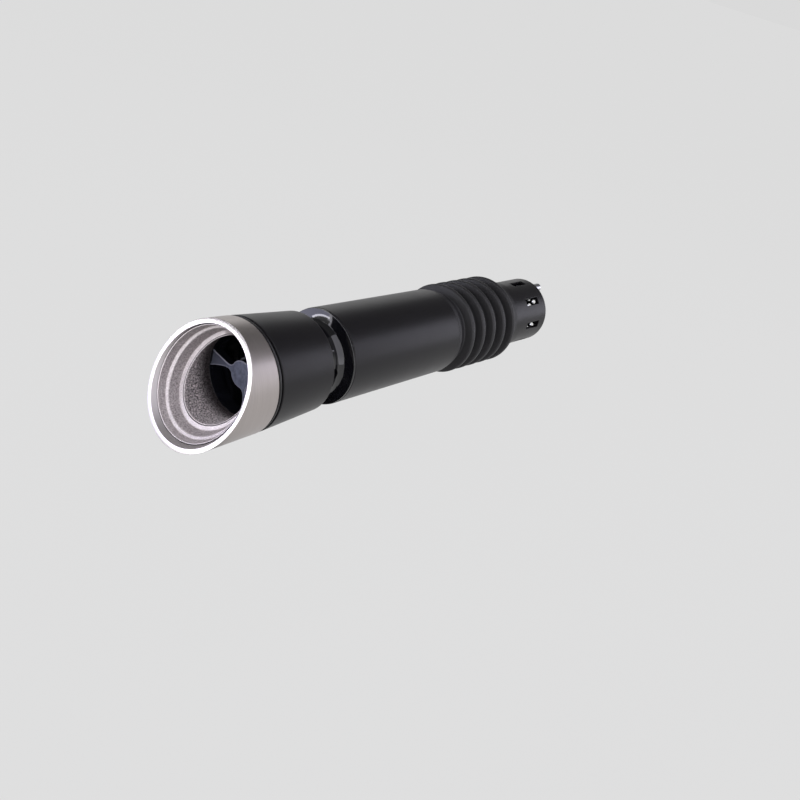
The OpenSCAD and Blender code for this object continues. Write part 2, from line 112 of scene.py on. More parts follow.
# %% Round corners of the section
def round_corners(bm, widths, segments=3):
    """Bevels the edges that corners of the section drew, given as {index in its list: width in mm}."""
    number = bm.verts.layers.int["corner"]
    for index, width in widths.items():
        edges = [edge for edge in bm.edges if all(vert[number] == index + 1 for vert in edge.verts)]
        bmesh.ops.bevel(
            bm, geom=edges, offset=width * mm, offset_type="OFFSET", affect="EDGES", segments=segments,
            profile=0.5, material=-1, clamp_overlap=True,
        )
    print("corners rounded:", len(widths))

# %% [markdown]
# A finished mesh becomes an object, rides on its body and stands for its solid. Plain smooth shading
# would bend the light across the flats beside a small bevel, so edges past 40 degrees stay sharp and a
# Weighted Normal modifier keeps the flats flat.

# %% Make a piece of a mesh
sharp_angle = math.radians(40)


def mesh_from(bm, name):
    """Writes the bmesh to a new mesh and frees it."""
    mesh = bpy.data.meshes.new(name)
    bm.to_mesh(mesh)
    bm.free()
    return mesh


def put_in_scene(name, data):
    """A new object with this data, linked to the scene."""
    thing = bpy.data.objects.new(name, data)
    bpy.context.scene.collection.objects.link(thing)
    return thing


def finished(bm, name, body, slot, *nodes):
    """Turns the mesh into a smooth piece that rides on a body and stands for the named solids."""
    for face in bm.faces:
        face.smooth = True
    mesh = mesh_from(bm, name)
    mesh.set_sharp_from_angle(angle=sharp_angle)
    piece = put_in_scene(name, mesh)
    weighted = piece.modifiers.new("even_flats", "WEIGHTED_NORMAL")
    weighted.keep_sharp = True
    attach(piece, body)
    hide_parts(*nodes)
    print(f"{name}: {len(mesh.polygons)} faces")
    return piece

# %% [markdown]
# ## The steel mouth ring
# The ring is stainless steel, turned with a slight flare and cut at a slant. Inside are three ledges with
# walls between them, and a fine groove with a lip at the first and at the last. They are slanted too,
# each a little more than the one outside it. A boolean cut would leave ragged edges to bevel, so the
# section is first spun straight, and then each of its corners is leaned over by its own slope.

# %% Section of the mouth ring
ring_r = 10.4
bore_r = 7.06
skirt_bore_r, skirt_r, skirt_end = 7.8, 8.5, 3.0
ring_section = [
    # place along the axis, radius, slope of the corner's plane, furthest place that it may lean to
    (0.0, ring_r, 0.0, 0.0),  # outside, at the joint
    (-8.35, 10.76, 0.40, -1.0),  # rim, outer edge
    (-8.35, 10.08, 0.40, -1.0),  # rim, inner edge
    (-7.68, 9.66, 0.37, -1.0),  # foot of the cone
    (-7.50, 9.57, 0.37, -1.0),  # bottom of the first groove
    (-7.72, 9.53, 0.37, -1.0),  # lip, outer edge
    (-7.68, 9.38, 0.37, -1.0),  # lip, inner edge
    (-6.05, 9.10, 0.44, -1.0),  # foot of the first wall
    (-5.88, 8.48, 0.45, -1.0),  # second ledge, inner edge
    (-3.66, 8.06, 0.53, -0.3),  # foot of the second wall
    (-3.58, 7.28, 0.55, -0.28),  # third ledge, inner edge
    (-3.40, 7.20, 0.55, -0.1),  # bottom of the second groove
    (-3.57, 7.16, 0.55, -0.22),  # lip, outer edge
    (-3.55, 7.02, 0.55, -0.2),  # lip, inner edge
    (0.0, bore_r, 0.0, 0.0),  # bore, at the joint
    (0.0, skirt_bore_r, 0.0, 0.0),  # skirt in the head
    (skirt_end, skirt_bore_r, 0.0, 0.0),
    (skirt_end, skirt_r, 0.0, 0.0),
    (0.0, skirt_r, 0.0, 0.0),
]
ring_bm = section_mesh([(place, radius) for place, radius, slope, furthest in ring_section])

# %% [markdown]
# The slanted ring is longest at the bottom, where the flare opens further, so the outer edge of the rim
# follows the flare as it leans. The flat of the rim is wider at the top, so its inner edge is drawn in
# there. Moving the vertices is simpler than a second cut.

# %% Lean the corners of the ring
ring_flare = 0.0431
rim_outside, rim_inside = 1, 2
rim_widening = 0.035
corner_layer = ring_bm.verts.layers.int["corner"]
for vert in ring_bm.verts:
    index = vert[corner_layer] - 1
    place, radius, slope, furthest = ring_section[index]
    scale = 1.0
    if index == rim_inside:
        scale = 1 - rim_widening * max(vert.co.z / mm, 0) / radius
    if slope:
        leaned = min(place + slope * scale * vert.co.z / mm, furthest)
        vert.co.x = (joint_x + leaned) * mm
        if index == rim_outside:
            scale = (ring_r - ring_flare * leaned) / radius
    vert.co.y *= scale
    vert.co.z *= scale
ring_places = [vert.co.x / mm - joint_x for vert in ring_bm.verts]
print(f"ring reaches {-min(ring_places):.2f} mm in front of the joint")

# %% [markdown]
# The outside is satin from a fine belt, the rim was faced bright, and the cone inside it is turned smooth.
# The ledges are bead blasted, the walls between them with a rougher bead and the bore with a coarse grit. The
# two grooves get a painted shade, a dark colour for the little light that reaches them. Faces picked by hand
# would be lost with each change of the section, so each face takes its finish from the pair of corners that
# it lies between. That comes before the bevels, which pass it on to the faces that they add.

# %% Finishes and painted shade of the ring's faces
satin_face, bright_face, smooth_face, blasted_face, medium_face, coarse_face, groove_shade_face = range(7)
# pairs of corners, with the numbers that their vertices remember
face_finish = {(2, 3): bright_face, (3, 4): smooth_face, (14, 15): coarse_face}
# the grooves take a painted shade, a dark colour for the little light in them
pair_starts = {blasted_face: (6, 8, 10, 13), medium_face: (7, 9), groove_shade_face: (4, 5, 11, 12)}
for finish, corners in pair_starts.items():
    for corner in corners:
        face_finish[corner, corner + 1] = finish
for face in ring_bm.faces:
    pair = tuple(sorted({vert[corner_layer] for vert in face.verts}))
    face.material_index = face_finish.get(pair, satin_face)
ring_rounding = {0: 0.16, 1: 0.04, 2: 0.24, 6: 0.06, 7: 0.16, 8: 0.2, 9: 0.2, 10: 0.04, 13: 0.05}
round_corners(ring_bm, ring_rounding, 4)
mouth_ring = finished(ring_bm, "mouth_ring_turned", "head", "ring_steel", "mouth_ring")

# %% [markdown]
# ## The gasket
# A rubber bead shows between steel and plastic as a dark line, a thin glossy roll and another dark line.
# A torus would give the roll alone. The section gives the web that carries it as well, and two bevels
# that nearly meet make the roll round.

# %% Gasket
seat_fit = 0.02
shell_bore_r = 8.52
gasket_r, bead_r = 9.95, 10.28
bead_half, bead_rounding = 0.25, 0.22
gasket_mid = gasket_end / 2
bead_front, bead_rear = gasket_mid - bead_half, gasket_mid + bead_half
gasket_bm = section_mesh([
    (seat_fit, shell_bore_r), (seat_fit, gasket_r), (bead_front, gasket_r), (bead_front, bead_r),
    (bead_rear, bead_r), (bead_rear, gasket_r), (gasket_end - seat_fit, gasket_r),
    (gasket_end - seat_fit, shell_bore_r),
])
round_corners(gasket_bm, {3: bead_rounding, 4: bead_rounding}, 4)
mouth_gasket = finished(gasket_bm, "mouth_gasket_bead", "head", "gasket_rubber", "mouth_gasket")

# %% [markdown]
# ## The head shell
# The head shell behind the bead is one satin moulding that narrows towards the air gap, with a soft rear
# edge that the thumb pushes against. A cone primitive has no wall, so it is a section of four corners.

# %% Head shell
shell_front_r = shell_high.z
shell_rear_r = 9.3
shell_bm = section_mesh([
    (gasket_end, shell_bore_r), (gasket_end, shell_front_r), (head_end, shell_rear_r),
    (head_end, shell_bore_r),
])
shell_rounding = (({1: 0.2}, 4), ({2: 0.25}, 5), ({3: 0.12}, 3))
for widths, segments in shell_rounding:
    round_corners(shell_bm, widths, segments)
head_shell = finished(shell_bm, "head_shell_moulding", "head", "satin_black", "head_shell")

# %% [markdown]
# ## The core
# The head slides on a glossy black spool, which shows in the gap behind it. Its nose, inside the head,
# has a groove for the seal and one for the clip. They could be cut afterwards, but as corners of the
# section they come with the spin.

# %% Nose of the core
core_low, core_high = (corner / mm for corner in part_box("core_spool"))
core_nose = core_low.x - joint_x
core_end = core_high.x - joint_x
core_r = 6.8
core_bore_r = 5.3
groove_r, groove_play = 6.34, 0.05
clip_groove_r, clip_play = 6.3, 0.02
seal_front, seal_rear = (corner.x / mm - joint_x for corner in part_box("core_seal"))
clip_front, clip_rear = (corner.x / mm - joint_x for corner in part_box("retaining_clip"))
core_grooves = (
    (seal_front - groove_play, seal_rear + groove_play, groove_r),
    (clip_front - clip_play, clip_rear + clip_play, clip_groove_r),
)
core_section = [(core_nose, core_bore_r), (core_nose, core_r)]
for front, rear, bottom_r in core_grooves:
    core_section += [(front, core_r), (front, bottom_r), (rear, bottom_r), (rear, core_r)]
print(f"core {core_end - core_nose:.2f} mm long, seal groove {core_r - groove_r:.2f} mm deep")

# %% [markdown]
# Towards the neck the spool flares up to a thin flange: first a hollow curve, then a steeper front that
# is a shade hollow too. A gloss shows every kink, and one bevel can't follow two curves. So both are made
# of many short steps, and their reflections stay smooth.

# %% Flare and flange of the core
flange_r, flange_t = 9.1, 0.36
flare_r, flare_turn, flare_steps = 2.3, math.radians(38), 16
front_tilt, front_sag = math.radians(70), 0.06
flange_front = neck_start - flange_t
front_h = flare_r * math.cos(flare_turn)
front_len = front_h / math.tan(front_tilt)
flare_start = flange_front - front_len - flare_r * math.sin(flare_turn)
for step in range(flare_steps + 1):
    turn = flare_turn * step / flare_steps
    core_section.append((flare_start + flare_r * math.sin(turn), flange_r - flare_r * math.cos(turn)))
front_corner = len(core_section) - 1
for step in range(1, flare_steps):
    share = step / flare_steps
    sag = 4 * front_sag * share * (1 - share)
    core_section.append((flange_front - front_len * (1 - share) + sag, flange_r - front_h * (1 - share)))
flange_corner = len(core_section)
print(f"flare starts {flange_front - flare_start:.2f} mm in front of the flange")

# %% [markdown]
# Behind the flange a spigot plugs into the neck, with a shallow seat for the nozzle in its bore. The
# edges that show are broken only a little, because a polished tool leaves them crisp.

# %% Turn the core
spigot_r, spigot_bore_r = 7.47, 6.42
seat_depth = 0.24
nose_corner = 1
core_section += [
    (flange_front, flange_r), (neck_start, flange_r), (neck_start, spigot_r), (core_end, spigot_r),
    (core_end, spigot_bore_r), (neck_start + seat_depth, spigot_bore_r),
    (neck_start + seat_depth, core_bore_r),
]
core_bm = section_mesh(core_section)
round_corners(core_bm, {nose_corner: 0.2, front_corner: 0.03, flange_corner: 0.06})
core_piece = finished(core_bm, "core_moulding", "neck", "gloss_black", "core_spool")

# %% [markdown]
# Holes and slots are cut last, because a boolean breaks up the rings of a spun mesh. The cutters of a
# piece share one mesh, so that only one boolean runs.

# %% Cut with a cutter
def box_matrix(low, high):
    """The place and size of a block between two corners, in mm."""
    middle = [(a + b) / 2 * mm for a, b in zip(low, high)]
    size = [(b - a) * mm for a, b in zip(low, high)]
    return Matrix.Translation(middle) @ Matrix.Diagonal(size + [1.0])


def cut_away(piece, cutter_bm):
    """Takes the cutter away from the piece and applies the cut."""
    bmesh.ops.recalc_face_normals(cutter_bm, faces=cutter_bm.faces[:])
    mesh = mesh_from(cutter_bm, "cutter")
    cutter = put_in_scene("cutter", mesh)
    cut = piece.modifiers.new("cut", "BOOLEAN")
    cut.object = cutter
    cut.solver = "EXACT"
    cut.use_self = True
    piece.modifiers.move(piece.modifiers.find("cut"), 0)
    bpy.context.view_layer.objects.active = piece
    bpy.ops.object.modifier_apply(modifier="cut")
    bpy.data.objects.remove(cutter)
    bpy.data.meshes.remove(mesh)
    piece.data.set_sharp_from_angle(angle=sharp_angle)
    print(piece.name, "after cutting:", len(piece.data.polygons), "faces")

# %% [markdown]
# Three ports let air into the passage. They were bored through the wall of the core and broken at the
# edge with a countersink, so each one is a cylinder with a short cone on it. The key of the head runs in
# a slot, which is a plain block in the same cutter.

# %% Air ports and key slot of the core
port_count, port_sides, port_setback = 3, 48, 3.3
port_r, port_sink = 1.2, 0.25
port_first, port_spacing = 178, 120
port_steps = (
    # lower radius, upper radius, lower end, upper end, from the axis out
    (port_r, port_r, 4.5, 8.0),
    (port_r, port_r + port_sink, 6.7, 7.2),
)
port_place = joint_x + neck_start - port_setback
core_cutter = bmesh.new()
for step in range(port_count):
    angle = math.radians(port_first + port_spacing * step)
    along = Matrix.Translation((port_place * mm, 0, 0)) @ Matrix.Rotation(angle - math.pi / 2, 4, "X")
    for low_r, high_r, low, high in port_steps:
        lift = Matrix.Translation((0, 0, (low + high) / 2 * mm))
        bmesh.ops.create_cone(
            core_cutter, cap_ends=True, segments=port_sides, radius1=low_r * mm, radius2=high_r * mm,
            depth=(high - low) * mm, matrix=along @ lift,
        )
key_angle, key_half, key_floor, key_top = 250, 0.8, 6.25, 8.0
key_turn = Matrix.Rotation(math.radians(key_angle), 4, "X")
key_low = (joint_x + clip_rear, key_floor, -key_half)
key_high = (joint_x + flare_start, key_top, key_half)
bmesh.ops.create_cube(core_cutter, size=1.0, matrix=key_turn @ box_matrix(key_low, key_high))
cut_away(core_piece, core_cutter)

# %% [markdown]
# ## The neck
# The neck is a plain moulded tube with a slight taper, and a recess in its front for the neck seal. Its
# front edge is broken so that a fine dark line shows between it and the flange of the core. A cylinder
# could be scaled at one end for the taper, but the section gives taper and recess at once.

# %% Neck
neck_front_r, neck_rear_r, neck_bore_r = neck_high.z, 8.84, 7.49
recess_r, recess_depth = 8.46, 1.0
neck_bm = section_mesh([
    (neck_start, recess_r), (neck_start, neck_front_r), (neck_end, neck_rear_r), (neck_end, neck_bore_r),
    (neck_start + recess_depth, neck_bore_r), (neck_start + recess_depth, recess_r),
])
neck_rounding = {1: 0.2, 2: 0.3}
round_corners(neck_bm, neck_rounding, 4)
neck_tube = finished(neck_bm, "neck_moulding", "neck", "satin_black", "neck_tube")

# %% [markdown]
# ## The stopper
# The stopper is a silicone sleeve with a collar and five ribs that bend back as they go in. An Array
# modifier would leave joints to weld, so a loop writes the ribs into one section. The tips and the roots
# are rounded, as silicone can't be moulded sharp.

# %% Stopper
stopper_low, stopper_high = (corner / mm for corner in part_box("stopper"))
stopper_front = stopper_low.x - joint_x
stopper_rear = stopper_high.x - joint_x
sleeve_r, sleeve_bore_r, rib_r, collar_r = 7.62, 6.42, 9.5, 8.62
collar_len, collar_foot = 1.1, 1.3
rib_first = -joint_x
rib_land, rib_lean, rib_back, rib_count = 1.0, 0.4, 2.2, 5
rib_span = stopper_rear - stopper_front - 2 * (rib_first - stopper_front) - rib_land
rib_pitch = rib_span / (rib_count - 1)
stopper_section = [
    (stopper_front, sleeve_bore_r), (stopper_front, collar_r), (stopper_front + collar_len, collar_r),
    (stopper_front + collar_foot, sleeve_r),
]
first_rib_corner = len(stopper_section)
for step in range(rib_count):
    start = rib_first + step * rib_pitch
    stopper_section += [
        (start - rib_lean, sleeve_r), (start, rib_r), (start + rib_land, rib_r), (start + rib_back, sleeve_r),
    ]
stopper_section += [(stopper_rear, sleeve_r), (stopper_rear, sleeve_bore_r)]
print(f"ribs every {rib_pitch:.2f} mm")

# %% [markdown]
# Each rib has four corners: a root, the two edges of its land and another root. The edge that leads as
# the stopper goes in is the softest, so that the rib folds back.

# %% Turn the stopper and round its ribs
rib_rounding = (0.25, 0.3, 0.45, 0.4)
collar_rounding = 0.2
stopper_bm = section_mesh(stopper_section)
for step in range(rib_count):
    root = first_rib_corner + len(rib_rounding) * step
    round_corners(stopper_bm, {root + offset: width for offset, width in enumerate(rib_rounding)}, 4)
round_corners(stopper_bm, {1: collar_rounding, 2: collar_rounding})
stopper = finished(stopper_bm, "stopper_moulding", "neck", "stopper_silicone", "stopper")

# %% [markdown]
# ## The strainer cage
# The cage is a moulded tube with a seat for the mesh and eight slots, which let the flow in from the
# sides. Slots left out of a grid of faces would have to fall on its lines, so they are cut with blocks
# that are turned about the axis.

# %% Strainer cage
cage_low, cage_high = (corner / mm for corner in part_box("strainer_cage"))
mesh_low, mesh_high = (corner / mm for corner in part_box("strainer_mesh"))
cage_r, cage_bore_r, seat_r = cage_high.z, sleeve_bore_r, mesh_high.z + seat_fit
cage_front, cage_rear, mesh_place = (place - joint_x for place in (cage_low.x, cage_high.x, mesh_low.x))
cage_bm = section_mesh([
    (cage_front, cage_bore_r), (cage_front, cage_r), (cage_rear, cage_r), (cage_rear, seat_r),
    (mesh_place, seat_r), (mesh_place, cage_bore_r),
])
strainer_cage = finished(cage_bm, "strainer_cage_moulding", "neck", "satin_black", "strainer_cage")
slot_count, slot_half, slot_land = 8, 0.8, 0.85
slot_from, slot_to = 0.5 * cage_r, cage_r + 1
slots_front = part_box("barrel")[1].x / mm
slots_rear = mesh_low.x - slot_land
cage_cutter = bmesh.new()
for step in range(slot_count):
    turn = Matrix.Rotation(2 * math.pi * step / slot_count, 4, "X")
    block = box_matrix((slots_front, slot_from, -slot_half), (slots_rear, slot_to, slot_half))
    bmesh.ops.create_cube(cage_cutter, size=1.0, matrix=turn @ block)
cut_away(strainer_cage, cage_cutter)

# %% [markdown]
# The edges of the slots are broken, all alike. Picking what a boolean leaves is tedious, so a Bevel
# modifier breaks every edge past 50 degrees. It comes first in the stack, so that the weighted normals
# see its faces.

# %% Broken edges of the cage
edge_break, edge_break_angle = 0.1, math.radians(50)
broken = strainer_cage.modifiers.new("broken_edges", "BEVEL")
broken.width = edge_break * mm
broken.segments = 3
broken.limit_method = "ANGLE"
broken.angle_limit = edge_break_angle
strainer_cage.modifiers.move(strainer_cage.modifiers.find("broken_edges"), 0)
print("cage modifiers:", [modifier.name for modifier in strainer_cage.modifiers])

# %% [markdown]
# ## The air tube
# The air return is a drawn steel tube that lies beside the axis. A curve with a round profile would do as
# well, but the tube is straight, so a section is spun about the tube's own axis.

# %% Air tube
air_low, air_high = (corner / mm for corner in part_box("air_tube"))
air_axis = (air_low.z + air_high.z) / 2
air_r, air_wall = (air_high.z - air_low.z) / 2, 0.3
air_front, air_rear = air_low.x - joint_x, air_high.x - joint_x
air_rounding = 0.12
air_bm = section_mesh([
    (air_front, air_r - air_wall), (air_front, air_r), (air_rear, air_r), (air_rear, air_r - air_wall),
], air_axis)
round_corners(air_bm, {2: air_rounding, 3: air_rounding})
air_tube = finished(air_bm, "air_tube_drawn", "neck", "spring_steel", "air_tube")

# %% [markdown]
# ## The spring ring
# A ring of spring wire keeps the mesh in the cage. A torus would be perfectly round, but the wire is
# pressed a little flat, so it is a square section with four large bevels.

# %% Spring ring
spring_low, spring_high = (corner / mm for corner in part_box("mesh_clip"))
spring_front, spring_rear = spring_low.x - joint_x, spring_high.x - joint_x
spring_out_r = spring_high.z
spring_in_r = spring_out_r - (spring_rear - spring_front)
spring_rounding = 0.2
spring_bm = section_mesh([
    (spring_front, spring_in_r), (spring_front, spring_out_r), (spring_rear, spring_out_r),
    (spring_rear, spring_in_r),
])
round_corners(spring_bm, dict.fromkeys(range(4), spring_rounding))
spring_ring = finished(spring_bm, "mesh_clip_wound", "neck", "spring_steel", "mesh_clip")

# %% [markdown]
# ## The flow divider
# A smoked insert sits in the mouth: a small hub on three spokes, which are thinnest beside the hub and
# widen into gussets at the wall. No plain cutter would give the waisted spokes, so it is pulled out of a
# disc. First the disc is given its thickness, and every vertex is marked as front or back.

# %% Disc of the hub
hub_r, hub_sides = 2.5, 36
hub_front, hub_rear = 0.9, 2.4
divider_bm = bmesh.new()
along_x = Matrix.Rotation(math.radians(-90), 4, "Y")
disc_place = Matrix.Translation(((joint_x + hub_front) * mm, 0, 0))
bmesh.ops.create_circle(
    divider_bm, cap_ends=True, segments=hub_sides, radius=hub_r * mm, matrix=disc_place @ along_x,
)
at_back, at_front, in_hollow = range(3)
is_front = divider_bm.verts.layers.int.new("front")
for vert in divider_bm.verts:
    vert[is_front] = at_front
pulled = bmesh.ops.extrude_face_region(divider_bm, geom=divider_bm.faces[:], use_keep_orig=True)
hub_back = [item for item in pulled["geom"] if isinstance(item, bmesh.types.BMVert)]
for vert in hub_back:
    vert[is_front] = at_back
bmesh.ops.translate(divider_bm, verts=hub_back, vec=((hub_rear - hub_front) * mm, 0, 0))
print("disc of the hub:", len(divider_bm.faces), "faces")

# %% [markdown]
# A spoke starts from the faces in the side of the disc that look its way. They are pulled out in short
# steps, and each step is set to the width that the spoke has there. Towards the wall the front comes
# forward into a gusset, whose middle is hollow.

# %% Pull out the spokes
spoke_count, half_spoke = 3, math.radians(20.5)
gusset_front = 0.2
hollow_share = 0.75
spoke_steps = [
    # distance from the axis, half of the width, share of the way to the gusset's front, depth of its hollow
    (2.72, 0.56, 0.0, 0.0), (3.25, 0.42, 0.0, 0.0), (3.8, 0.46, 0.04, 0.0), (4.5, 0.62, 0.16, 0.12),
    (5.3, 0.86, 0.38, 0.26), (6.2, 1.2, 0.7, 0.34), (7.06, 1.6, 1.0, 0.38), (7.4, 1.76, 1.0, 0.38),
]


def around(point):
    """The angle of a point about the axis."""
    return math.atan2(point.z, point.y)


for spoke in range(spoke_count):
    turn = Matrix.Rotation(2 * math.pi * spoke / spoke_count, 3, "X")
    outward, across = turn @ Vector((0, 1, 0)), turn @ Vector((0, 0, 1))
    side = [
        face for face in divider_bm.faces
        if len(face.verts) == 4 and abs(around(turn.transposed() @ face.calc_center_median())) < half_spoke
    ]
    for reach, half, forward, hollow in spoke_steps:
        grown = bmesh.ops.extrude_face_region(divider_bm, geom=side)
        bmesh.ops.delete(divider_bm, geom=side, context="FACES")
        side = [item for item in grown["geom"] if isinstance(item, bmesh.types.BMFace)]
        moved = [item for item in grown["geom"] if isinstance(item, bmesh.types.BMVert)]
        widest = max(abs(vert.co.dot(across)) for vert in moved)
        for vert in moved:
            share = vert.co.dot(across) / widest
            x = vert.co.x
            if vert[is_front]:
                x = (joint_x + hub_front + forward * (gusset_front - hub_front)) * mm
                if hollow and abs(share) < hollow_share:
                    x += hollow * mm
                    vert[is_front] = in_hollow
            vert.co = Vector((x, 0, 0)) + outward * reach * mm + across * share * half * mm
print("hub and spokes:", len(divider_bm.faces), "faces")

# %% [markdown]
# The front of the hub is dished by about a tenth of a millimetre, with two insets of its face. Then the
# edges of the front are rounded. They are found by the mark on their vertices and by the angle between
# their faces, which leaves the soft folds along a spoke alone.

# %% Dish the hub and round the front
dish_steps = ((0.5, 0.06), (0.7, 0.05))
front_rounding, front_angle = 0.2, math.radians(50)
caps = [face for face in divider_bm.faces if len(face.verts) == hub_sides]
front_face = min(caps, key=lambda face: face.calc_center_median().x)
for inset, depth in dish_steps:
    bmesh.ops.inset_region(divider_bm, faces=[front_face], thickness=inset * mm, depth=depth * mm)
bmesh.ops.remove_doubles(divider_bm, verts=divider_bm.verts[:], dist=merge_distance * mm)
bmesh.ops.recalc_face_normals(divider_bm, faces=divider_bm.faces[:])
front_edges = [
    edge for edge in divider_bm.edges
    if all(vert[is_front] for vert in edge.verts) and len(edge.link_faces) == 2
    and edge.calc_face_angle() > front_angle
]
rounded = bmesh.ops.bevel(
    divider_bm, geom=front_edges, offset=front_rounding * mm, offset_type="OFFSET", affect="EDGES",
    segments=4, profile=0.5, material=-1, clamp_overlap=True,
)
print("front edges rounded:", len(front_edges))

# %% [markdown]
# Smoked plastic is pale where an edge gathers the light and dark where black lies behind it. Glass in the
# shader would be slow and noisy in so small a piece. So that light and shade are painted: the front keeps a
# plain tone, the hollows and the walls get a painted shade and the rounded edges a painted highlight, and the
# faces are told apart by their vertices and by where they face.

# %% Tones of the divider's faces, with painted light and shade
plain_face, hollow_shade_face, edge_highlight_face, wall_shade_face = range(4)
wall_facing = -0.2
for face in divider_bm.faces:
    hollow_corners = sum(vert[is_front] == in_hollow for vert in face.verts)
    # the hollows of the gussets get a painted shade
    face.material_index = hollow_shade_face if hollow_corners >= 2 else plain_face
    # walls that turn away from the front get a painted shade
    if face.normal.x > wall_facing:
        face.material_index = wall_shade_face
# the rounded front edges get a painted highlight
for face in rounded["faces"]:
    face.material_index = edge_highlight_face
web = finished(divider_bm, "divider_hub_and_spokes", "head", "smoked", "flow_divider")

# %% [markdown]
# The rim of the insert is a short tube in the bore, which carries the ends of the spokes. A boolean could
# join them, but nothing of the joint shows, so it is turned, and stands for the same solid as they do.

# %% Rim of the divider
rim_out_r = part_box("flow_divider")[1].z / mm
rim_rounding = 0.15
rim_bm = section_mesh([
    (seat_fit, bore_r), (seat_fit, rim_out_r), (skirt_end, rim_out_r), (skirt_end, bore_r),
])
round_corners(rim_bm, {0: rim_rounding})
divider_rim = finished(rim_bm, "divider_rim", "head", "smoked", "flow_divider")

# %% [markdown]
# ## Finishes
# Each finish is named for what the material is and how its surface was made. One function turns the given
# colours into the linear values that the shader works in, and one adds a node with its settings and its
# links. Patterns on a UV map would need seams, so these lie on Object coordinates. Those are in metres, so a
# noise scale of 1000 over a size in millimetres gives that size.

# %% Colours and nodes
def linear(code):
    """Turns an sRGB hex colour into linear red, green, blue and alpha."""
    parts = [int(code[i:i + 2], 16) / 255 for i in (1, 3, 5)]
    return [c / 12.92 if c <= 0.04045 else ((c + 0.055) / 1.055) ** 2.4 for c in parts] + [1.0]


def add(tree, kind, settings=None, inputs=None):
    """Adds a node, sets its properties, and sets or links its inputs."""
    node = tree.nodes.new(kind)
    for key, value in (settings or {}).items():
        setattr(node, key, value)
    for key, value in (inputs or {}).items():
        if isinstance(value, bpy.types.NodeSocket):
            tree.links.new(value, node.inputs[key])
        else:
            node.inputs[key].default_value = value
    return node


def per_mm(size):
    """The scale of a noise whose spots are about this many millimetres across."""
    return 1 / (size * mm)


print("middle grey in linear light:", round(linear("#808080")[0], 3))

# %% [markdown]
# Every finish starts from an empty material and ends with a bump, one Principled shader and the output.
# Two helpers do that, so the finishes below say only what is their own.

# %% Start and end of a finish
def blank(name):
    """A new, empty material, its node tree, and the point that its patterns lie on."""
    material = bpy.data.materials.new(name)
    material.use_nodes = True
    tree = material.node_tree
    tree.nodes.clear()
    place = add(tree, "ShaderNodeTexCoord").outputs["Object"]
    print("finish:", name)
    return material, tree, place


def close(tree, tone, gloss, pattern, depth, height, more):
    """Ends a material: a bump of the pattern's height in mm, the shader and the output."""
    bump = add(tree, "ShaderNodeBump", inputs={
        "Height": pattern.outputs["Fac"], "Strength": depth, "Distance": height * mm,
    })
    shader = add(tree, "ShaderNodeBsdfPrincipled", inputs={
        "Base Color": tone.outputs["Result"], "Roughness": gloss, "Normal": bump.outputs["Normal"], **more,
    })
    add(tree, "ShaderNodeOutputMaterial", inputs={"Surface": shader.outputs["BSDF"]})

# %% [markdown]
# ### Ground and turned steel
# A belt or a lathe tool leaves fine lines round the ring. An anisotropic shader would stretch the
# highlight alone, and the lines themselves show here. So a noise that hardly changes round the axis gives
# the lines in colour and in height, and a soft cloud varies the gloss. The grain of a real belt is finer
# than a pixel here, so it is drawn about five times as coarse.

# %% Steel with lines
def ground_steel(name, colour, dark, roughness, line_size, depth):
    """Ground or turned steel: fine lines round the axis, and a cloud in its gloss."""
    line_stretch = (1.0, 0.02, 0.02)
    cloud_size, gloss_spread, line_height = 4.0, 0.04, 0.02
    material, tree, place = blank(name)
    stretched = add(tree, "ShaderNodeMapping", inputs={"Vector": place, "Scale": line_stretch})
    lines = add(tree, "ShaderNodeTexNoise", inputs={
        "Vector": stretched.outputs["Vector"], "Scale": per_mm(line_size), "Detail": 4.0, "Roughness": 0.7,
    })
    cloud = add(tree, "ShaderNodeTexNoise", inputs={
        "Vector": place, "Scale": per_mm(cloud_size), "Detail": 2.0,
    })
    tone = add(tree, "ShaderNodeMix", {"data_type": "RGBA"}, {
        "Factor": lines.outputs["Fac"], "A": linear(dark), "B": linear(colour),
    })
    gloss = add(tree, "ShaderNodeMapRange", inputs={
        "Value": cloud.outputs["Fac"], "To Min": roughness - gloss_spread, "To Max": roughness + gloss_spread,
    })
    close(tree, tone, gloss.outputs["Result"], lines, depth, line_height, {"Metallic": 1.0})
    return material

# %% [markdown]
# ### Blasted steel
# Blasting leaves a frost of small dents, coarser with a coarser grit. Real displacement would need very many
# faces, so the dents are a noise in colour and bump. Real ones are finer than a pixel here, so they are drawn
# about three times as coarse. Little light reaches deep into the bore, so a painted shade is multiplied into
# its colour along the axis, darker with the depth.

# %% Steel with dents
def blasted_steel(name, colour, dark, roughness, grit, depth, depth_shade=None):
    """Blasted steel: a frost of small dents, and an optional painted shade that darkens it between two places
    in mm.
    """
    dent_height = 0.1
    shadow_at, light_at = 0.35, 0.65
    material, tree, place = blank(name)
    dents = add(tree, "ShaderNodeTexNoise", inputs={
        "Vector": place, "Scale": per_mm(grit), "Detail": 3.0, "Roughness": 0.65,
    })
    spread = add(tree, "ShaderNodeMapRange", inputs={
        "Value": dents.outputs["Fac"], "From Min": shadow_at, "From Max": light_at,
    })
    tone = add(tree, "ShaderNodeMix", {"data_type": "RGBA"}, {
        "Factor": spread.outputs["Result"], "A": linear(dark), "B": linear(colour),
    })
    # painted shade: the colour is multiplied darker further along the axis, deeper in the bore
    if depth_shade:
        start, end, deep = depth_shade
        along = add(tree, "ShaderNodeSeparateXYZ", inputs={"Vector": place})
        inside = add(tree, "ShaderNodeMapRange", {"interpolation_type": "SMOOTHSTEP"}, {
            "Value": along.outputs["X"], "From Min": start * mm, "From Max": end * mm,
        })
        tone = add(tree, "ShaderNodeMix", {"data_type": "RGBA", "blend_type": "MULTIPLY"}, {
            "Factor": inside.outputs["Result"], "A": tone.outputs["Result"], "B": linear(deep),
        })
    close(tree, tone, roughness, dents, depth, dent_height, {"Metallic": 1.0})
    return material
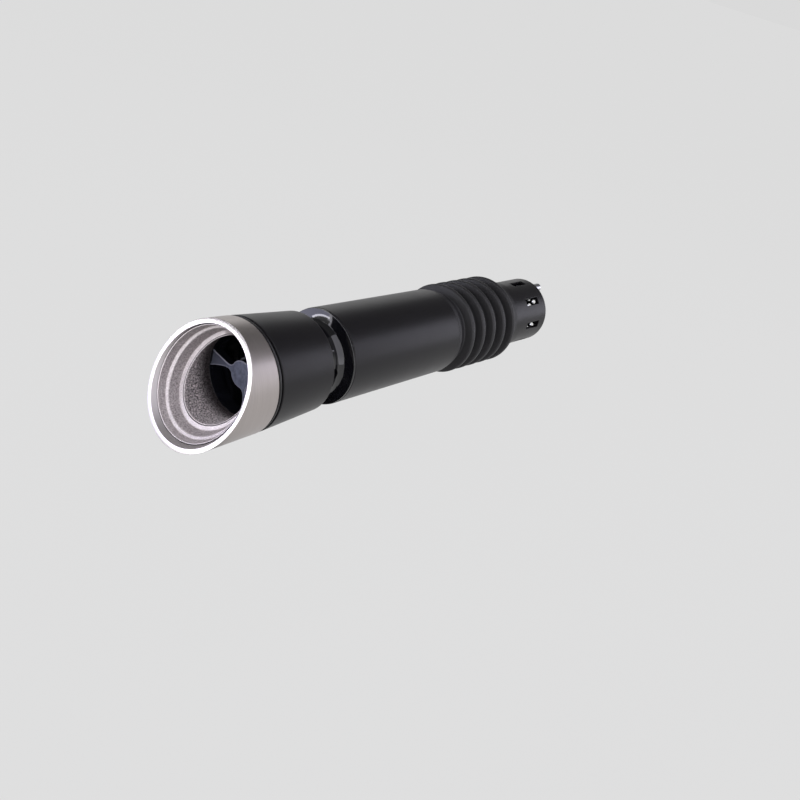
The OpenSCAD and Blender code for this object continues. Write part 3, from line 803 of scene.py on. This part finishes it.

# %% [markdown]
# The ring takes seven materials of one steel: six finishes, and a painted shade for its grooves, which are
# coloured dark because little light reaches their bottom. The air tube and the spring ring are drawn through
# a die, which leaves them smooth and bright. A colour alone would not tell them apart, so each finish has its
# own roughness and grain.

# %% Finishes of the steel pieces, with painted shade in the ring's grooves and bore
# a soft grey sheen with faint rings: the outside of the mouth ring
satin_steel = ground_steel(
    "stainless_steel_belt_ground", "#bfb8b5", "#aaa2a0", roughness=0.34, line_size=0.16, depth=0.2,
)
# a close, bright sheen, so that the rim shows as a white line
bright_steel = ground_steel(
    "stainless_steel_faced_bright", "#dcd7d6", "#d2cccb", roughness=0.24, line_size=0.3, depth=0.1,
)
# an even pale grey on the cone inside the rim
smooth_steel = ground_steel(
    "stainless_steel_turned_fine", "#c9c4c4", "#bab5b5", roughness=0.5, line_size=0.3, depth=0.1,
)
# a pale frost that still shines: the ledges
frosted_steel = blasted_steel(
    "stainless_steel_bead_blasted", "#d9d3d3", "#b0a8a8", roughness=0.44, grit=0.2, depth=0.4,
)
# a matt frost, so the walls stay grey between the bright ledges
medium_steel = blasted_steel(
    "stainless_steel_blasted_medium", "#dfd8d9", "#9d9697", roughness=0.8, grit=0.22, depth=0.6,
)
# a grainy salt and pepper with a painted shade that darkens it inwards: the bore
shade_start, shade_end, shade_tone = joint_x - 3.7, joint_x - 0.3, "#706c6e"
coarse_steel = blasted_steel(
    "stainless_steel_blasted_coarse", "#f8f1f2", "#6c6668", roughness=0.9, grit=0.27, depth=1.0,
    depth_shade=(shade_start, shade_end, shade_tone),
)
# painted shade: a thin dark ring beside each lip, where the groove lies in shade
groove_shade_steel = ground_steel(
    "stainless_steel_groove_painted_shade", "#2e2b2d", "#242123", roughness=0.5, line_size=0.3, depth=0.1,
)
# a clean, cool shine
drawn_steel = ground_steel(
    "stainless_steel_drawn", "#c2c3c6", "#aaabae", roughness=0.26, line_size=0.3, depth=0.15,
)

# %% [markdown]
# ### Plastics and rubber
# Every moulding takes the skin of its tool: fine spark texture on the head and the neck, polish on the
# core. One helper makes them all, because separate materials would repeat the same nodes. A cloud makes
# colour and gloss a little uneven, and a fine noise is the grain. The sheen is the shader's Specular IOR
# Level: 0.5 is what the IOR itself gives, less dims the reflections and more lifts them.

# %% Moulded skin
def moulded(name, colour, other, roughness, grain, depth, sheen=0.5, cloud_size=3.0):
    """A moulded surface: a little unevenness in colour and gloss, and the tool's grain."""
    gloss_spread, grain_height = 0.12, 0.02
    material, tree, place = blank(name)
    cloud = add(tree, "ShaderNodeTexNoise", inputs={
        "Vector": place, "Scale": per_mm(cloud_size), "Detail": 4.0, "Roughness": 0.6,
    })
    tone = add(tree, "ShaderNodeMix", {"data_type": "RGBA"}, {
        "Factor": cloud.outputs["Fac"], "A": linear(colour), "B": linear(other),
    })
    gloss = add(tree, "ShaderNodeMapRange", inputs={
        "Value": cloud.outputs["Fac"], "To Min": roughness * (1 - gloss_spread),
        "To Max": roughness * (1 + gloss_spread),
    })
    fine = add(tree, "ShaderNodeTexNoise", inputs={
        "Vector": place, "Scale": per_mm(grain), "Detail": 2.0, "Roughness": 0.5,
    })
    close(tree, tone, gloss.outputs["Result"], fine, depth, grain_height, {"Specular IOR Level": sheen})
    return material


# deep black with broad, dim highlights: head, neck and cage
satin_abs = moulded(
    "abs_moulded_satin", "#0f0d10", "#131115", roughness=0.36, grain=0.12, depth=0.25, sheen=0.29,
)
# black that mirrors the panels sharply: the core
gloss_abs = moulded(
    "abs_moulded_gloss", "#0c0c0f", "#101014", roughness=0.06, grain=1.5, depth=0.02, sheen=0.8,
)

# %% [markdown]
# The divider is smoked polycarbonate, slightly blue and a little cloudy. It takes four tones of one plastic,
# for the faces that were told apart above: a plain tone on the front, a painted shade in the hollows and on
# the walls, and a painted highlight on the edges.

# %% Smoked tones of the divider, with painted light and shade
# a cloudy slate grey: hub and spokes from the front
smoked_pc = moulded(
    "polycarbonate_smoked_gloss", "#2a2e37", "#6c7084", roughness=0.16, grain=1.0, depth=0.12, cloud_size=0.8,
)
# painted shade, an even duller grey: the hollows of the gussets
hollow_shade_pc = moulded(
    "polycarbonate_smoked_hollow_shade", "#424450", "#4a4c58", roughness=0.22, grain=1.2, depth=0.04,
)
# painted highlight, a pale line where an edge gathers the light
edge_highlight_pc = moulded(
    "polycarbonate_smoked_edge_highlight", "#70707e", "#7c7c8a", roughness=0.12, grain=1.2, depth=0.04,
)
# painted shade, nearly black as plastic seen against the dark passage: walls and rim
shaded_pc = moulded(
    "polycarbonate_smoked_painted_shade", "#101116", "#15161c", roughness=0.15, grain=1.2, depth=0.04,
)

# %% [markdown]
# The bead is nitrile rubber with a skin that shines a little. The seals and the stopper are silicone,
# softer in their highlights and never quite clean. The guide bush inside the head is machined acetal.

# %% Rubber, silicone and acetal
# a black line with a thin highlight
bead_rubber = moulded("nitrile_rubber_moulded", "#141316", "#19181b", roughness=0.24, grain=0.3, depth=0.1)
# dark grey without a clear reflection
seal_silicone = moulded("silicone_moulded_grey", "#2c2c30", "#36363b", roughness=0.5, grain=0.3, depth=0.2)
# black with a dusty bloom
stopper_silicone = moulded(
    "silicone_moulded_black", "#171618", "#201f22", roughness=0.55, grain=0.2, depth=0.25, cloud_size=1.6,
)
# a waxy off-white
acetal = moulded("acetal_machined", "#dcd8cc", "#cfcabc", roughness=0.4, grain=0.4, depth=0.15)

# %% [markdown]
# ### Giving out the finishes
# The ring takes seven materials and the divider four, painted shade and painted highlight among them, in the
# order in which their faces were numbered.
# Every other new piece takes one. A table of them is easier to read than a line for each.

# %% Finish the new pieces
ring_finishes = (
    satin_steel, bright_steel, smooth_steel, frosted_steel, medium_steel, coarse_steel, groove_shade_steel,
)
divider_finishes = (smoked_pc, hollow_shade_pc, edge_highlight_pc, shaded_pc)
piece_finishes = {
    mouth_ring: ring_finishes, web: divider_finishes, divider_rim: (shaded_pc,), mouth_gasket: (bead_rubber,),
    head_shell: (satin_abs,), core_piece: (gloss_abs,), neck_tube: (satin_abs,), strainer_cage: (satin_abs,),
    stopper: (stopper_silicone,), air_tube: (drawn_steel,), spring_ring: (drawn_steel,),
}
for piece, materials in piece_finishes.items():
    for material in materials:
        piece.data.materials.append(material)
print("new pieces finished:", len(piece_finishes))

# %% [markdown]
# A solid that no piece replaces keeps its own form. Its finish follows from its material slot in the
# record, so a table of slots is enough. The plain material that it comes with is taken out first.

# %% Finish the solids
slot_finish = {
    "ring_steel": satin_steel, "gasket_rubber": bead_rubber, "satin_black": satin_abs,
    "gloss_black": gloss_abs, "smoked": smoked_pc, "seal_silicone": seal_silicone,
    "stopper_silicone": stopper_silicone, "acetal": acetal, "spring_steel": drawn_steel,
}
for part in frame["record"]["subparts"]:
    solid = frame["nodes"][part["node"]]
    solid.data.materials.clear()
    solid.data.materials.append(slot_finish[part["material_slot"]])
print("finishes:", len(bpy.data.materials))

# %% [markdown]
# ## Studio
# The camera stands in front of the mouth, above it and to one side, turned a little about its own axis. A
# Track To constraint would aim it without that turn, so its place and angles are set. They were worked
# out from the edges of the object in the picture, with a lens of 45 mm on a sensor of 36 mm.

# %% Camera
camera_place = Vector((-169.67, -105.2, 79.05))
camera_azimuth, camera_dip, camera_roll = 32.65, 26.13, 17.16
lens, sensor = 45.0, 36.0
camera_data = bpy.data.cameras.new("camera")
camera_data.lens = lens
camera_data.sensor_width = sensor
camera_data.clip_start = 1 * mm
camera = put_in_scene("camera", camera_data)
swing = Euler((math.radians(90 - camera_dip), 0, math.radians(camera_azimuth - 90)), "XYZ").to_matrix()
roll = Matrix.Rotation(math.radians(camera_roll), 3, "Z")
camera.matrix_world = Matrix.Translation(camera_place * mm) @ (swing @ roll).to_4x4()
bpy.context.scene.camera = camera
print(f"camera {camera_place.length:.0f} mm from the origin")

# %% [markdown]
# Soft panels do the work, because small lamps would draw hard points in the gloss. The mouth and rim
# panels face the mouth and brighten rim and ledges. A large softbox above the right side draws the long
# highlights on head and neck. The side and back panels behind the part graze its flanks, and the fill
# panel beside the camera lifts the shadows. On the left, the rear panel gives the core's flange a grey
# crescent, and the thin streak panel the bright line in it. The edge panel picks out the upper edges. A
# panel's power follows from its brightness and its area.

# %% Lamps
aim_depth = 15
aim = Vector((joint_x + aim_depth, 0, 0)) * mm


def panel(name, direction, distance, width, height, brightness, colour):
    """A soft panel that faces the part from a direction, at a distance in mm."""
    data = bpy.data.lights.new(name, "AREA")
    data.color = linear(colour)[:3]
    data.shape = "RECTANGLE"
    data.size = width * mm
    data.size_y = height * mm
    data.energy = brightness * math.pi * width * mm * height * mm
    lamp = put_in_scene(name, data)
    toward = Vector(direction).normalized()
    turn = toward.to_track_quat("Z", "Y").to_matrix().to_4x4()
    lamp.matrix_world = Matrix.Translation(aim + toward * distance * mm) @ turn
    print(f"{name}: {width} x {height} mm, {data.energy:.2f} W")


panels = (
    # name, direction that it stands in, distance, width, height, brightness, colour
    ("mouth_panel", (-0.949, 0.237, 0.21), 500, 268, 460, 2.3, "#f5f4ff"),
    ("rim_panel", (-0.854, 0.52, 0.0), 498, 48, 250, 2.3, "#f5f4ff"),
    ("softbox", (0.01, -0.741, 0.671), 600, 760, 1000, 1.25, "#f4f3ff"),
    ("side_panel", (0.86, -0.45, 0.24), 600, 160, 330, 2.7, "#f0efff"),
    ("back_panel", (0.72, 0.62, 0.30), 600, 300, 160, 0.55, "#ffffff"),
    ("fill_panel", (-0.85, -0.42, 0.32), 700, 400, 400, 2.1, "#ffffff"),
    ("rear_panel", (-0.60, 0.796, -0.07), 480, 330, 230, 1.5, "#d8d8ff"),
    ("streak_panel", (-0.70, 0.69, 0.165), 470, 200, 28, 7.5, "#f5f4ff"),
    ("edge_panel", (-0.40, 0.55, 0.73), 500, 200, 90, 4.0, "#ffffff"),
)
for row in panels:
    panel(*row)

# %% [markdown]
# The floor is a wide pale sheet well below the part, which is held by its stopper and stands on nothing.
# A curved backdrop would hide the horizon, but a sheet of 20 m reaches past the camera's view and is
# simpler.

# %% Floor
floor_z = -90.0
floor_size = 20000.0
floor_bm = bmesh.new()
bmesh.ops.create_grid(floor_bm, x_segments=1, y_segments=1, size=floor_size / 2 * mm)
bmesh.ops.translate(floor_bm, verts=floor_bm.verts[:], vec=(0, 0, floor_z * mm))
floor_mesh = mesh_from(floor_bm, "floor")
floor = put_in_scene("floor", floor_mesh)
print(f"floor {floor_size / 1000:.0f} m wide, {-floor_z:.0f} mm below the axis")

# %% [markdown]
# The sheet is matt white paper. Lit by the panels alone it would show bright pools. So the camera and the
# reflections see it with an even light of its own, and only 5 per cent are the paper as the lamps light
# it, which keeps a trace of the shadow.

# %% Paper of the floor
glow_share = 0.95
fibre_size = 60.0
glow_tone, paper_dark, paper_light = "#e0e0e0", "#dedede", "#e2e2e2"
floor_paper, paper, paper_place = blank("paper_matt_white")
fibres = add(paper, "ShaderNodeTexNoise", inputs={
    "Vector": paper_place, "Scale": per_mm(fibre_size), "Detail": 3.0,
})
paper_tone = add(paper, "ShaderNodeMix", {"data_type": "RGBA"}, {
    "Factor": fibres.outputs["Fac"], "A": linear(paper_dark), "B": linear(paper_light),
})
lit = add(paper, "ShaderNodeBsdfDiffuse", inputs={"Color": paper_tone.outputs["Result"]})
glow = add(paper, "ShaderNodeEmission", inputs={"Color": linear(glow_tone), "Strength": 1.0})
path = add(paper, "ShaderNodeLightPath")
seen = path.outputs["Is Camera Ray"]
for kind in ("Is Glossy Ray", "Is Transmission Ray"):
    either = add(paper, "ShaderNodeMath", {"operation": "MAXIMUM"}, {0: seen, 1: path.outputs[kind]})
    seen = either.outputs["Value"]
share = add(paper, "ShaderNodeMath", {"operation": "MULTIPLY"}, {0: seen, 1: glow_share})
both = add(paper, "ShaderNodeMixShader", inputs={
    "Fac": share.outputs["Value"], 1: lit.outputs["BSDF"], 2: glow.outputs["Emission"],
})
add(paper, "ShaderNodeOutputMaterial", inputs={"Surface": both.outputs["Shader"]})
floor_mesh.materials.append(floor_paper)

# %% [markdown]
# The room is about as pale as the floor at the height of the eye and darker towards the ceiling, as in a
# studio, so the tops of the black pieces stay dark. A picture of a room would do that too, but a ramp on
# the height of the ray needs no file.

# %% Room
eye_height, ceiling_height = 0.08, 0.5
eye_light, ceiling_light = 0.7, 0.14
world = bpy.data.worlds.new("studio")
bpy.context.scene.world = world
world.use_nodes = True
sky = world.node_tree
sky.nodes.clear()
ray = add(sky, "ShaderNodeTexCoord").outputs["Generated"]
height = add(sky, "ShaderNodeSeparateXYZ", inputs={"Vector": ray})
room_light = add(sky, "ShaderNodeMapRange", {"interpolation_type": "SMOOTHSTEP"}, {
    "Value": height.outputs["Z"], "From Min": eye_height, "From Max": ceiling_height,
    "To Min": eye_light, "To Max": ceiling_light,
})
room = add(sky, "ShaderNodeBackground", inputs={
    "Color": linear("#ffffff"), "Strength": room_light.outputs["Result"],
})
add(sky, "ShaderNodeOutputWorld", inputs={"Surface": room.outputs["Background"]})
bpy.context.scene.view_settings.view_transform = "Standard"
print("room light at the eye and at the ceiling:", eye_light, ceiling_light)

# %% [markdown]
# In a studio a black card keeps a pale floor out of a gloss. One lies under the mouth, where the lower
# half of the core's flange would mirror the floor, so that the flange stays black all the way round. A
# darker floor would do that too, but it would show. Only reflections see the card: the camera, the
# shadows and the soft light pass it by.

# %% Black card
card_drop, card_t, card_setback = 40.0, 0.5, 3.0
card_length, card_left, card_right = 72.0, 40.0, -30.0
card_rear = joint_x + neck_start - card_setback
card_low = (card_rear - card_length, card_right, -card_drop - card_t)
card_high = (card_rear, card_left, -card_drop)
card_bm = bmesh.new()
bmesh.ops.create_cube(card_bm, size=1.0, matrix=box_matrix(card_low, card_high))
card_mesh = mesh_from(card_bm, "black_card")
card = put_in_scene("black_card", card_mesh)
card.visible_camera = False
card.visible_shadow = False
card.visible_diffuse = False
# matt black that gives back almost nothing
card_black = moulded("card_matt_black", "#08080a", "#0c0c0e", roughness=0.8, grain=2.0, depth=0.1, sheen=0.1)
card_mesh.materials.append(card_black)
print("black card under the mouth, mm:", [round(value, 1) for value in card_low + card_high])
